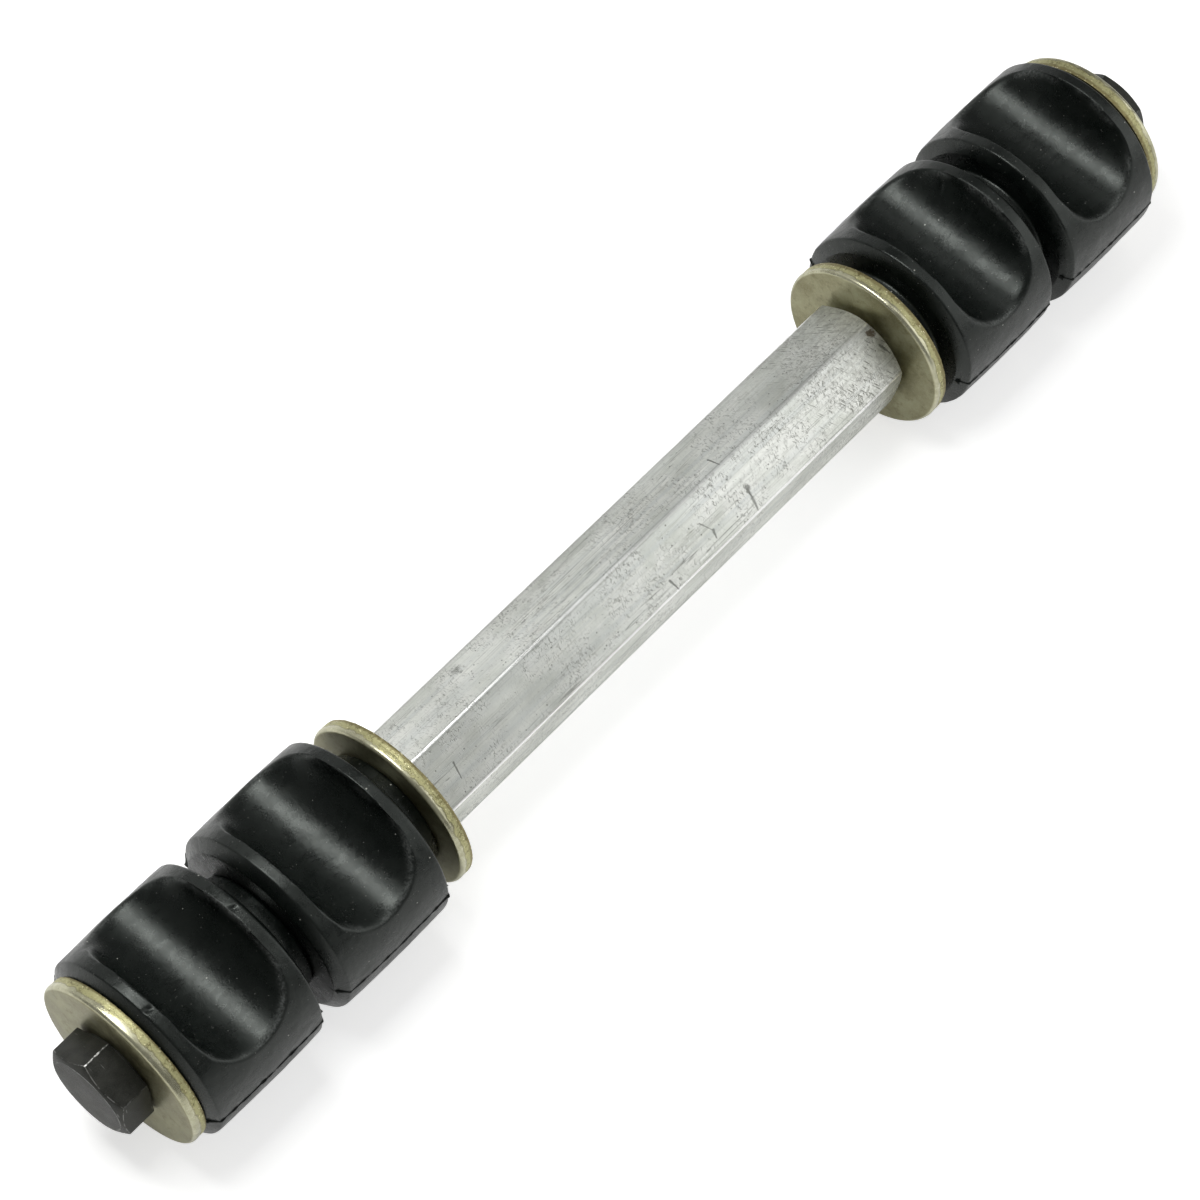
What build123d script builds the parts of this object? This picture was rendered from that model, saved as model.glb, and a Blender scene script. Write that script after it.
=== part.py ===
"""Stabilizer end link: a long bolt that carries two pairs of rubber bushings and a spacer sleeve.

The bolt lies along X with its head towards -X and its nut towards +X. The origin is on the bolt's
axis, in the middle of the lower eye seat, the groove where the suspension arm's plate sits. +Z is
up when the link lies with the bushings' mould scoops upwards. Lengths are in millimetres.
"""
import os
from math import cos, pi, radians, tan

from build123d import *

# Bolt and nut
bolt_d = 10.0
thread_depth = 0.92
under_head_round = 0.25
bolt_past_nut = 1.5
head_af = 15.0
head_height = 6.4
head_seat_d = 14.2
head_seat_height = 0.4
head_crown_d = 14.1
nut_af = 15.0
nut_height = 7.1
nut_crown_d = 14.1
nut_countersink = 0.6
wrench_chamfer_deg = 30.0

# Flat washers
washer_d = 32.0
washer_thickness = 2.6
washer_edge_round = 0.7
washer_bore_chamfer = 0.3

# Spacer sleeve, a hexagon bar with a bore
sleeve_af = 18.0
sleeve_length = 115.0
sleeve_face_d = 15.0
sleeve_edge_round = 0.35

# Rubber bushing, measured from its flat end
bushing_d = 35.6
bushing_body_length = 24.7
bushing_crest_d = 35.2
flat_face_d = 31.0
flat_bevel_length = 1.5
shoulder_face_d = 30.4
shoulder_bevel_length = 1.0
bushing_edge_round = 0.5
nipple_length = 3.6
nipple_root_d = 23.4
nipple_tip_d = 22.4
face_edge_round = 0.6
scoop_radius = 9.1
scoop_floor_height = 7.9
scoop_edge_round = 0.5
flash_height = 0.15
flash_thickness = 0.36

# Running clearances on the radius
bushing_clearance = 0.08
washer_clearance = 0.30
sleeve_clearance = 0.40
thread_clearance = 0.08

# How far each piece is turned about the bolt, in degrees
head_roll = -5.8
sleeve_roll = 5.7
nut_roll = -15.0
bushing_rolls = {
    "lower_outer_bushing": 0.0,
    "lower_inner_bushing": -1.5,
    "upper_inner_bushing": 3.0,
    "upper_outer_bushing": 0.5,
}

bolt_r = bolt_d / 2
bushing_length = bushing_body_length + nipple_length
chamfer_slope = tan(radians(wrench_chamfer_deg))

# Where each piece starts along X, counted from the face under the bolt head
head_face_x = -(washer_thickness + bushing_body_length + nipple_length / 2)
lower_outer_x = head_face_x + washer_thickness
lower_inner_x = lower_outer_x + bushing_length
lower_sleeve_washer_x = lower_inner_x + bushing_length
sleeve_x = lower_sleeve_washer_x + washer_thickness
upper_sleeve_washer_x = sleeve_x + sleeve_length
upper_inner_x = upper_sleeve_washer_x + washer_thickness
upper_outer_x = upper_inner_x + bushing_length
nut_washer_x = upper_outer_x + bushing_length
nut_x = nut_washer_x + washer_thickness
bolt_end_x = nut_x + nut_height + bolt_past_nut


def turned(points):
    """Solid of revolution about X, from a closed outline of (x, radius) points."""
    return revolve(make_face(Polyline(points, close=True)), Axis.X)


def hexagon_bar(across_flats, length, face_d, both_ends):
    """Hexagon bar along X, one corner up, turned down to face_d at its start or at both ends."""
    corner_r = across_flats / 2 / cos(pi / 6)
    drop = (corner_r - face_d / 2) * chamfer_slope
    bar = extrude(Plane.YZ * RegularPolygon(corner_r, 6, rotation=30), length)
    start = [(0, 0), (0, face_d / 2), (drop, corner_r)]
    turned_end = [(length - drop, corner_r), (length, face_d / 2), (length, 0)]
    plain_end = [(length, corner_r), (length, 0)]
    return bar & turned(start + (turned_end if both_ends else plain_end))


def hex_bolt():
    """Bolt with a plain shank at the thread's outer diameter, for the sake of the fits."""
    head = hexagon_bar(head_af, head_height - head_seat_height, head_crown_d, False)
    seat = Pos(X=head_height - head_seat_height) * turned([
        (0, 0),
        (0, head_seat_d / 2),
        (head_seat_height, head_seat_d / 2),
        (head_seat_height, 0),
    ])
    shank_length = bolt_end_x - head_face_x
    shank = Pos(X=head_height) * turned([
        (0, 0),
        (0, bolt_r + under_head_round),
        (under_head_round, bolt_r),
        (shank_length - thread_depth, bolt_r),
        (shank_length, bolt_r - thread_depth),
        (shank_length, 0),
    ])
    return Pos(X=head_face_x - head_height) * (Rot(X=head_roll) * head + seat + shank)


def flat_washer(x, rounded_side):
    """Stamped washer: the die rounds the rim on one side, -1 towards the head or 1 away from it."""
    bore_r = bolt_r + washer_clearance
    outline = make_face(Polyline([
        (0, bore_r + washer_bore_chamfer),
        (washer_bore_chamfer, bore_r),
        (washer_thickness - washer_bore_chamfer, bore_r),
        (washer_thickness, bore_r + washer_bore_chamfer),
        (washer_thickness, washer_d / 2),
        (0, washer_d / 2),
    ], close=True))
    rim_corners = outline.vertices().group_by(Axis.Y)[-1]
    outline = fillet(rim_corners.sort_by(Axis.X)[0], washer_edge_round)
    washer = revolve(outline, Axis.X)
    if rounded_side > 0:
        washer = Pos(X=washer_thickness) * Rot(Z=180) * washer
    return Pos(X=x) * washer


def spacer_sleeve():
    """Drawn hexagon tube, its long edges slightly round and its ends turned like a nut's."""
    sleeve = hexagon_bar(sleeve_af, sleeve_length, sleeve_face_d, True)
    long_edges = sleeve.edges().filter_by(Axis.X)
    sleeve = fillet(long_edges, sleeve_edge_round)
    bore_r = bolt_r + sleeve_clearance
    bore = turned([(0, 0), (0, bore_r), (sleeve_length, bore_r), (sleeve_length, 0)])
    return Pos(X=sleeve_x) * Rot(X=sleeve_roll) * (sleeve - bore)


def bushing_outline():
    """Half section of the bushing: flat end, bevel, barrelled body, shoulder and tapered nipple."""
    bore_r = bolt_r + bushing_clearance
    flat_crest = (flat_bevel_length, bushing_crest_d / 2)
    belly = (bushing_body_length / 2, bushing_d / 2)
    shoulder_crest = (bushing_body_length - shoulder_bevel_length, bushing_crest_d / 2)
    end_and_bevel = Polyline((0, bore_r), (0, flat_face_d / 2), flat_crest)
    barrel = ThreePointArc(flat_crest, belly, shoulder_crest)
    shoulder_and_nipple = Polyline(
        shoulder_crest,
        (bushing_body_length, shoulder_face_d / 2),
        (bushing_body_length, nipple_root_d / 2),
        (bushing_length, nipple_tip_d / 2),
        (bushing_length, bore_r),
        (0, bore_r),
    )
    outline = make_face(end_and_bevel + barrel + shoulder_and_nipple)
    crests = outline.vertices().group_by(Axis.Y)[-1]
    outline = fillet(crests, bushing_edge_round)
    by_length = outline.vertices().group_by(Axis.X)
    flat_rim = by_length[0].sort_by(Axis.Y)[-1]
    shoulder_corners = by_length[-2]
    nipple_rim = by_length[-1].sort_by(Axis.Y)[-1]
    return fillet([flat_rim, *shoulder_corners, nipple_rim], face_edge_round)


def bushing():
    """Moulded bushing along X from its flat end: two scoops, up and down, and a parting flash."""
    outline = bushing_outline()
    body = revolve(outline, Axis.X)
    flash_half = extrude(offset(outline, flash_height), flash_thickness / 2, both=True)
    flash = flash_half + mirror(flash_half, Plane.XZ)
    flash &= Pos(X=bushing_body_length / 2) * Box(bushing_body_length, 2 * bushing_d, bushing_d)
    core_r = nipple_tip_d / 2
    flash -= turned([(0, 0), (0, core_r), (bushing_body_length, core_r), (bushing_body_length, 0)])
    land_middle_x = (flat_bevel_length + bushing_body_length - shoulder_bevel_length) / 2
    scoop_height = scoop_floor_height + scoop_radius
    scoop = Rot(X=90) * Cylinder(scoop_radius, 2 * bushing_d)
    for side in (1, -1):
        body -= Pos(X=land_middle_x, Z=side * scoop_height) * scoop
    scoop_rims = body.edges().filter_by(GeomType.BSPLINE)
    return fillet(scoop_rims, scoop_edge_round) + flash


def hex_nut():
    """Nut chamfered at both faces, bored to clear the thread's outer diameter."""
    nut = hexagon_bar(nut_af, nut_height, nut_crown_d, True)
    bore_r = bolt_r + thread_clearance
    mouth_r = bore_r + nut_countersink
    bore = turned([
        (0, 0),
        (0, mouth_r),
        (nut_countersink, bore_r),
        (nut_height - nut_countersink, bore_r),
        (nut_height, mouth_r),
        (nut_height, 0),
    ])
    return Pos(X=nut_x) * Rot(X=nut_roll) * (nut - bore)


def placed_bushing(name, x, nipple_side):
    """Bushing whose span starts at x, with its nipple towards the nut (1) or the head (-1)."""
    piece = bushing()
    if nipple_side < 0:
        piece = Pos(X=bushing_length) * Rot(Z=180) * piece
    return Pos(X=x) * Rot(X=bushing_rolls[name]) * piece


pieces = {
    "hex_bolt": hex_bolt(),
    "head_washer": flat_washer(head_face_x, -1),
    "lower_outer_bushing": placed_bushing("lower_outer_bushing", lower_outer_x, 1),
    "lower_inner_bushing": placed_bushing("lower_inner_bushing", lower_inner_x, 1),
    "lower_sleeve_washer": flat_washer(lower_sleeve_washer_x, -1),
    "spacer_sleeve": spacer_sleeve(),
    "upper_sleeve_washer": flat_washer(upper_sleeve_washer_x, -1),
    "upper_inner_bushing": placed_bushing("upper_inner_bushing", upper_inner_x, -1),
    "upper_outer_bushing": placed_bushing("upper_outer_bushing", upper_outer_x, -1),
    "nut_washer": flat_washer(nut_washer_x, 1),
    "hex_nut": hex_nut(),
}

os.makedirs("parts", exist_ok=True)
for name, piece in pieces.items():
    export_step(piece, f"parts/{name}.step")
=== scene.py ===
"""Looks of a stabilizer end link: bolt, washers, rubber bushings, spacer sleeve and nut."""

from functools import reduce
from math import cos, exp, pi, radians, sin, sqrt, tan

import bmesh
import bpy
from mathutils import Matrix, Vector, noise


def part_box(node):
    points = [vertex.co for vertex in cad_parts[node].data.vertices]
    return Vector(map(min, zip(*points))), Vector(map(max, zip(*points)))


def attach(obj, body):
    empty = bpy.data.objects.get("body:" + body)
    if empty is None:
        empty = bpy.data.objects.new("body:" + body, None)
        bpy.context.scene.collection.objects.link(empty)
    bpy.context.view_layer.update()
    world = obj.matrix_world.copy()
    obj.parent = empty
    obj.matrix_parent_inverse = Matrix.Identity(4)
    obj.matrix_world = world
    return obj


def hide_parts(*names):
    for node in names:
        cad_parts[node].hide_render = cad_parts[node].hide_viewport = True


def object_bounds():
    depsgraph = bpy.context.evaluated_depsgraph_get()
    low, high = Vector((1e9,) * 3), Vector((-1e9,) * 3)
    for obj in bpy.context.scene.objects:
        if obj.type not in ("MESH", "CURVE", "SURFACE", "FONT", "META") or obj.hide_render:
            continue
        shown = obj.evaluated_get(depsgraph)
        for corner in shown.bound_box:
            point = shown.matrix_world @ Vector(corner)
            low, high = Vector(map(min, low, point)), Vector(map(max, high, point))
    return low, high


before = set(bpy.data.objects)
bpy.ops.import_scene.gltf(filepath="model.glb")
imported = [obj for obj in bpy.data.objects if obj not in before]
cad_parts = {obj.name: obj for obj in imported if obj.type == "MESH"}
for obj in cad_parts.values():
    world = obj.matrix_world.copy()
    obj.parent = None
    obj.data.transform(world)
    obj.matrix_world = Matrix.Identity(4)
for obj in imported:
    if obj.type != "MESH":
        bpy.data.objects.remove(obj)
cad_low, cad_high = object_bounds()

# The bolt: a cold-forged hexagon-head bolt of medium carbon steel, thread rolled and blackened by
# phosphating. Lengths in every section are millimetres; a finished mesh is turned into metres.
head_across_flats = 15.0
head_height = 6.4
head_seat_height = 0.4
head_seat_d = 14.2
head_crown_d = 14.1
head_roll = -5.8
wrench_chamfer_deg = 30.0
hex_corner_round = 0.25
hex_edge_round = 0.1
seat_edge_round = 0.08
under_head_round = 0.25
bolt_r = 5.0
thread_pitch = 1.5
thread_depth = 0.92
thread_length = 30.0
thread_run_out = 1.0
thread_crest = 0.19
thread_start_slope = 0.6
ridge_sunk = 0.05
ridge_short = 0.05
tip_round = 0.1
run_in = 0.5

# Phosphated steel: its dark and pale patches, its crystals, and the bare metal where it rubbed off.
phosphate_dark = (0.017, 0.018, 0.014)
phosphate_pale = (0.041, 0.042, 0.035)
phosphate_crystal = (0.088, 0.089, 0.080)
bare_steel = (0.72, 0.72, 0.69)

# The corner of the head that took a knock, where the most bare metal shows.
struck_corner = (-32.6, 0.9, 8.6)


def span(node):
    """Where a CAD node starts and ends along the bolt, in millimetres."""
    low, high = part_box(node)
    return low.x * 1000, high.x * 1000


def off_axis(vertex):
    """A vertex's distance from the bolt's axis."""
    return sqrt(vertex.co.y ** 2 + vertex.co.z ** 2)


def draw_in(vertex, share):
    """Moves a vertex towards the bolt's axis, to a share of its distance from it."""
    vertex.co.y *= share
    vertex.co.z *= share


def roll_over(bm, angle):
    """Turns a mesh about the bolt's axis."""
    bmesh.ops.rotate(bm, cent=(0, 0, 0), matrix=Matrix.Rotation(angle, 3, "X"), verts=bm.verts)


def turn(bm, outline, steps):
    """Spins an open outline of (x, radius) points once round the bolt's axis."""
    points = [bm.verts.new((x, 0, r)) for x, r in outline]
    lines = [bm.edges.new(pair) for pair in zip(points, points[1:])]
    bmesh.ops.spin(bm, geom=points + lines, cent=(0, 0, 0), axis=(1, 0, 0), angle=2 * pi,
                   steps=steps, use_merge=True)
    bmesh.ops.remove_doubles(bm, verts=bm.verts, dist=1e-4)


def hexagon_bar(bm, across_flats, start_x, end_x, corner_round):
    """Hexagon bar along the bolt's axis, one corner up, its long corners slightly round."""
    upright = Matrix.Rotation(pi / 6, 4, "X") @ Matrix.Rotation(pi / 2, 4, "Y")
    made = bmesh.ops.create_circle(bm, cap_ends=True, segments=6, radius=across_flats / 2 / cos(pi / 6),
                                   matrix=Matrix.Translation((start_x, 0, 0)) @ upright)
    face = made["verts"][0].link_faces[0]
    pushed = bmesh.ops.extrude_face_region(bm, geom=[face])
    moved = [v for v in pushed["geom"] if isinstance(v, bmesh.types.BMVert)]
    bmesh.ops.translate(bm, vec=(end_x - start_x, 0, 0), verts=moved)
    bmesh.ops.recalc_face_normals(bm, faces=bm.faces)
    corners = [e for e in bm.edges if abs(e.verts[0].co.x - e.verts[1].co.x) > 0.1]
    bmesh.ops.bevel(bm, geom=corners, offset=corner_round, offset_type="OFFSET", segments=4,
                    profile=0.5, affect="EDGES", material=-1)


def turn_down(bm, face_x, face_r, away, cuts=96):
    """Chamfers a bar's end as on a lathe: a cone that meets the end face at radius face_r."""
    slope = radians(wrench_chamfer_deg)
    for k in range(cuts):
        around = 2 * pi * k / cuts
        radial = Vector((0, cos(around), sin(around)))
        plane_no = radial * sin(slope) + Vector((away * cos(slope), 0, 0))
        cut = bmesh.ops.bisect_plane(bm, geom=bm.verts[:] + bm.edges[:] + bm.faces[:], dist=1e-5,
                                     plane_co=Vector((face_x, 0, 0)) + radial * face_r,
                                     plane_no=plane_no, clear_outer=True)
        rim = [e for e in cut["geom_cut"] if isinstance(e, bmesh.types.BMEdge) and e.is_boundary]
        bmesh.ops.edgeloop_fill(bm, edges=rim)


def break_edges(bm, size, over_deg=25, segments=2):
    """Rounds each edge sharper than over_deg by a small size."""
    sharp = [e for e in bm.edges if e.is_manifold and e.calc_face_angle(0) > radians(over_deg)]
    bmesh.ops.bevel(bm, geom=sharp, offset=size, offset_type="OFFSET", segments=segments,
                    profile=0.5, affect="EDGES", clamp_overlap=True, material=-1)


def thread_ridge(bm, start_x, end_x, root_r, crest_r, crest, steps_a_turn=48):
    """One helical ridge of the thread, right-handed, from a flat-topped profile swept by a screw."""
    half = (thread_pitch - crest) / 2
    profile = [(-half, root_r), (-crest / 2, crest_r), (crest / 2, crest_r), (half, root_r)]
    points = [bm.verts.new((start_x + x, 0, r)) for x, r in profile]
    lines = [bm.edges.new(pair) for pair in zip(points, points[1:] + points[:1])]
    turns = (end_x - start_x) / thread_pitch
    steps = round(steps_a_turn * turns)
    made = bmesh.ops.spin(bm, geom=points + lines, cent=(0, 0, 0), axis=(1, 0, 0), angle=2 * pi * turns,
                          dvec=(thread_pitch * turns / steps, 0, 0), steps=steps)
    bmesh.ops.edgeloop_fill(bm, edges=lines)
    bmesh.ops.edgeloop_fill(bm, edges=[e for e in made["geom_last"] if isinstance(e, bmesh.types.BMEdge)])


def finished(bm, name, cad_node, body, material, smooth_deg=32):
    """Makes a millimetre mesh into a smooth-shaded piece in metres that rides on a body."""
    bmesh.ops.recalc_face_normals(bm, faces=bm.faces)
    bmesh.ops.scale(bm, vec=(0.001, 0.001, 0.001), verts=bm.verts)
    mesh = bpy.data.meshes.new(name)
    bm.to_mesh(mesh)
    bm.free()
    mesh.shade_smooth()
    mesh.set_sharp_from_angle(angle=radians(smooth_deg))
    mesh.materials.append(material)
    piece = bpy.data.objects.new(name, mesh)
    bpy.context.scene.collection.objects.link(piece)
    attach(piece, body)
    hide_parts(cad_node)


def new_finish(name):
    """An empty material: (material, its nodes, its main shader)."""
    made = bpy.data.materials.new(name)
    made.use_nodes = True
    return made, made.node_tree, made.node_tree.nodes["Principled BSDF"]


def node(tree, kind, inputs=None, **settings):
    """Adds a shader node; inputs are sockets to link or plain values."""
    made = tree.nodes.new("ShaderNode" + kind)
    for key, value in settings.items():
        setattr(made, key, value)
    for key, value in (inputs or {}).items():
        if isinstance(value, bpy.types.NodeSocket):
            tree.links.new(value, made.inputs[key])
        else:
            made.inputs[key].default_value = value
    return made


def sums(tree, operation, *values, clamp=False):
    """One Math node's result."""
    return node(tree, "Math", dict(enumerate(values)), operation=operation, use_clamp=clamp).outputs[0]


def plus(tree, first, second):
    """Two values added."""
    return sums(tree, "ADD", first, second)


def minus(tree, first, second, clamp=False):
    """The second value taken from the first."""
    return sums(tree, "SUBTRACT", first, second, clamp=clamp)


def times(tree, *values):
    """Values multiplied together."""
    return reduce(lambda first, second: sums(tree, "MULTIPLY", first, second), values)


def either(tree, *masks):
    """The strongest of several masks."""
    return reduce(lambda first, second: sums(tree, "MAXIMUM", first, second), masks)


def ramp(tree, value, low, high, to_low=0.0, to_high=1.0):
    """A value eased from low..high to to_low..to_high."""
    return node(tree, "MapRange", {"Value": value, "From Min": low, "From Max": high, "To Min": to_low,
                                   "To Max": to_high}, interpolation_type="SMOOTHSTEP").outputs[0]


def blend(tree, share, first, second):
    """Two colours mixed by a share."""
    made = node(tree, "Mix", data_type="RGBA")
    for socket, value in ((made.inputs[0], share), (made.inputs[6], first), (made.inputs[7], second)):
        if isinstance(value, bpy.types.NodeSocket):
            tree.links.new(value, socket)
        else:
            socket.default_value = (*value, 1)
    return made.outputs[2]


def coat(tree, colour, tint, mask, strength=1.0):
    """A colour with a tint laid over it where a mask says."""
    share = mask if strength == 1.0 else times(tree, mask, strength)
    return blend(tree, share, colour, tint)


def cloud(tree, place, scale, detail=4.0, rough=0.55):
    """Plain fractal noise from 0 to 1 at so many waves a millimetre."""
    return node(tree, "TexNoise", {"Vector": place, "Scale": scale, "Detail": detail,
                                   "Roughness": rough}).outputs["Fac"]


def millimetres(tree, stretch=(1, 1, 1), shift=(0, 0, 0)):
    """The piece's own coordinates in millimetres, stretched and shifted."""
    place = node(tree, "TexCoord").outputs["Object"]
    return node(tree, "Mapping", {"Vector": place, "Scale": [1000 * s for s in stretch],
                                  "Location": shift}).outputs[0]


def axes(tree, place):
    """A place's three coordinates."""
    return node(tree, "SeparateXYZ", {"Vector": place}).outputs


def from_axis(tree, place):
    """How far a place lies from the bolt's axis."""
    parts = axes(tree, place)
    squares = plus(tree, sums(tree, "POWER", parts[1], 2.0), sums(tree, "POWER", parts[2], 2.0))
    return sums(tree, "SQRT", squares)


def emboss(tree, shader, height, strength, depth):
    """Gives a shader its fine relief from a height; depth is in metres."""
    bumps = node(tree, "Bump", {"Height": height, "Strength": strength, "Distance": depth})
    tree.links.new(bumps.outputs[0], shader.inputs["Normal"])


def effect(name, inputs):
    """An empty shader group that puts out one mask: (group, its inputs, the mask's socket)."""
    group = bpy.data.node_groups.new(name, "ShaderNodeTree")
    for key, value in inputs.items():
        kind = "NodeSocketVector" if value is None else "NodeSocketFloat"
        made = group.interface.new_socket(key, in_out="INPUT", socket_type=kind)
        if value is not None:
            made.default_value = value
    group.interface.new_socket("Mask", in_out="OUTPUT", socket_type="NodeSocketFloat")
    mask = group.nodes.new("NodeGroupOutput").inputs["Mask"]
    return group, group.nodes.new("NodeGroupInput").outputs, mask


def placed(tree, group, **inputs):
    """The mask of a shader group placed in a material."""
    made = tree.nodes.new("ShaderNodeGroup")
    made.node_tree = group
    for key, value in inputs.items():
        if isinstance(value, bpy.types.NodeSocket):
            tree.links.new(value, made.inputs[key])
        else:
            made.inputs[key].default_value = value
    return made.outputs["Mask"]


# Short strokes scattered over a surface: scratches where long, pits or dust where as long as wide.
strokes, given, mask = effect("strokes", {"Place": None, "Length": 1.0, "Width": 0.2, "Share": 0.5,
                                          "Seed": 0.0})
size = node(strokes, "CombineXYZ", {"X": given["Length"], "Y": given["Width"], "Z": given["Width"]})
cells = node(strokes, "VectorMath", {0: given["Place"], 1: size.outputs[0]}, operation="DIVIDE")
cells = node(strokes, "VectorMath", {0: cells.outputs[0], 1: given["Seed"]}, operation="ADD")
dots = node(strokes, "TexVoronoi", {"Vector": cells.outputs[0], "Scale": 0.5, "Randomness": 1.0}).outputs
chosen = node(strokes, "SeparateColor", {"Color": dots["Color"]}).outputs[0]
kept = sums(strokes, "LESS_THAN", chosen, given["Share"])
near = ramp(strokes, dots["Distance"], 0.12, 0.32, 1.0, 0.0)
strokes.links.new(times(strokes, near, kept), mask)

# Wear on the corners of a hexagon: how near a place is to a corner line, broken up by noise.
corner_wear, given, mask = effect("corner_wear", {"Place": None, "Corner_radius": 8.66, "Width": 0.3,
                                                  "Broken": 0.5})
radius = from_axis(corner_wear, given["Place"])
rough = cloud(corner_wear, given["Place"], 1.1, 6.0, 0.7)
reach = times(corner_wear, minus(corner_wear, rough, 0.5),
              times(corner_wear, given["Width"], given["Broken"]))
start = minus(corner_wear, given["Corner_radius"], given["Width"])
worn = ramp(corner_wear, plus(corner_wear, radius, reach), start, given["Corner_radius"])
corner_wear.links.new(worn, mask)

# A blot round one place: how far inside its ragged outline a place lies.
blot, given, mask = effect("blot", {"Place": None, "Centre": None, "Radius": 1.0, "Ragged": 0.5})
away = node(blot, "VectorMath", {0: given["Place"], 1: given["Centre"]}, operation="DISTANCE")
wobble = times(blot, minus(blot, cloud(blot, given["Place"], 1.2, 6.0, 0.7), 0.5), given["Ragged"])
inside = minus(blot, given["Radius"], plus(blot, away.outputs["Value"], wobble))
blot.links.new(ramp(blot, sums(blot, "DIVIDE", inside, given["Radius"]), 0.0, 0.4), mask)

bolt_start, bolt_end = span("hex_bolt")
black_steel, tree, shader = new_finish("black_steel")
place = millimetres(tree)
crystals = cloud(tree, place, 7.0, 4.0, 0.65)
stain = cloud(tree, place, 0.35, 5.0, 0.6)
rubbed = placed(tree, corner_wear, Place=place, Corner_radius=8.62, Width=0.07, Broken=3.4)
struck = placed(tree, blot, Place=place, Centre=struck_corner, Radius=3.6, Ragged=1.5)
rubbed = times(tree, rubbed, ramp(tree, struck, 0.0, 0.5, 0.16, 1.0))
marks = placed(tree, strokes, Place=place, Length=0.2, Width=1.2, Share=0.12, Seed=3.0)

# The head's arcs, where its flats meet the wrench chamfer, are worn just below the chamfer's cone.
cone = sums(tree, "MULTIPLY_ADD", minus(tree, axes(tree, place)[0], bolt_start),
            1 / tan(radians(wrench_chamfer_deg)), head_crown_d / 2)
off_cone = minus(tree, cone, from_axis(tree, place))
arc_wear = times(tree, ramp(tree, off_cone, 0.02, 0.08), ramp(tree, off_cone, 0.16, 0.40, 1.0, 0.0),
                 ramp(tree, cloud(tree, place, 0.5, 5.0, 0.7), 0.42, 0.60, 0.0, 0.30))
bright = either(tree, rubbed, arc_wear, times(tree, marks, 0.16))
colour = blend(tree, ramp(tree, stain, 0.3, 0.7), phosphate_dark, phosphate_pale)
colour = coat(tree, colour, phosphate_crystal, ramp(tree, crystals, 0.4, 0.75, 0.0, 0.4))
colour = coat(tree, colour, bare_steel, bright)
tree.links.new(colour, shader.inputs["Base Color"])
tree.links.new(ramp(tree, plus(tree, crystals, stain), 0.6, 1.4, 0.40, 0.60), shader.inputs["Roughness"])
tree.links.new(ramp(tree, bright, 0.0, 0.6, 0.55, 1.0), shader.inputs["Metallic"])
emboss(tree, shader, plus(tree, crystals, times(tree, stain, 2.0)), 0.35, 0.00006)

# The head, its round seat and the shank each run a little way into the next.
bm = bmesh.new()
hexagon_bar(bm, head_across_flats, bolt_start, bolt_start + head_height - head_seat_height,
            hex_corner_round)
turn_down(bm, bolt_start, head_crown_d / 2, -1)
break_edges(bm, hex_edge_round)
roll_over(bm, radians(head_roll))
seat_x = bolt_start + head_height
seat_back_x = seat_x - head_seat_height - run_in
turn(bm, [(seat_back_x, 0), (seat_back_x, head_seat_d / 2), (seat_x - seat_edge_round, head_seat_d / 2),
          (seat_x, head_seat_d / 2 - seat_edge_round), (seat_x, 0)], steps=96)
thread_x = bolt_end - thread_length
root_r = bolt_r - thread_depth
turn(bm, [(seat_x - run_in, 0), (seat_x - run_in, bolt_r + under_head_round),
          (seat_x, bolt_r + under_head_round), (seat_x + under_head_round, bolt_r),
          (thread_x - thread_run_out, bolt_r), (thread_x, root_r), (bolt_end - tip_round, root_r),
          (bolt_end, root_r - tip_round), (bolt_end, 0)], steps=64)

# The thread's ridge starts shallow at the run-out and is chamfered at the bolt's tip.
ridge = bmesh.new()
thread_ridge(ridge, thread_x - thread_pitch, bolt_end + thread_pitch, root_r - ridge_sunk, bolt_r,
             thread_crest)
bmesh.ops.bisect_plane(ridge, geom=ridge.verts[:] + ridge.edges[:] + ridge.faces[:],
                       plane_co=(bolt_end - ridge_short, 0, 0), plane_no=(1, 0, 0), clear_outer=True)
bmesh.ops.holes_fill(ridge, edges=[e for e in ridge.edges if e.is_boundary], sides=0)
for v in ridge.verts:
    r = off_axis(v)
    tip_limit = root_r - tip_round + max(0.0, bolt_end - v.co.x)
    start_limit = root_r + max(0.0, v.co.x - thread_x + thread_pitch) * thread_start_slope
    draw_in(v, min(1.0, tip_limit / r, start_limit / r))
part = bpy.data.meshes.new("ridge")
ridge.to_mesh(part)
ridge.free()
bm.from_mesh(part)
finished(bm, "bolt", "hex_bolt", "bolt", black_steel)

# Four flat washers: blanked from steel strip, zinc plated and yellow chromated. The die rolls one
# edge of the rim over; the other side of the rim tears and keeps a rough band with painted glints.
washer_r = 16.0
washer_bore_r = 5.3
washer_bore_chamfer = 0.3
washer_roll = 0.7
washer_thickness = 2.6
washer_face_r = 10.0
torn_corner_drop = 0.06

# How the rim tears: where the tear starts below the rolled face and how much that wavers, how far it
# takes to reach its full depth, that depth, and the height of its waves and pits.
tear_start = 0.75
tear_waver = 0.4
tear_run = 0.6
tear_depth = 0.05
tear_relief = 0.04

# Which way each rolled rim faces, -1 to the head and 1 to the nut, and how much wider its tear is.
washers = {"head_washer": (-1, -0.35), "lower_sleeve_washer": (-1, -0.1),
           "upper_sleeve_washer": (-1, 0.05), "nut_washer": (1, 0.0)}
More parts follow.
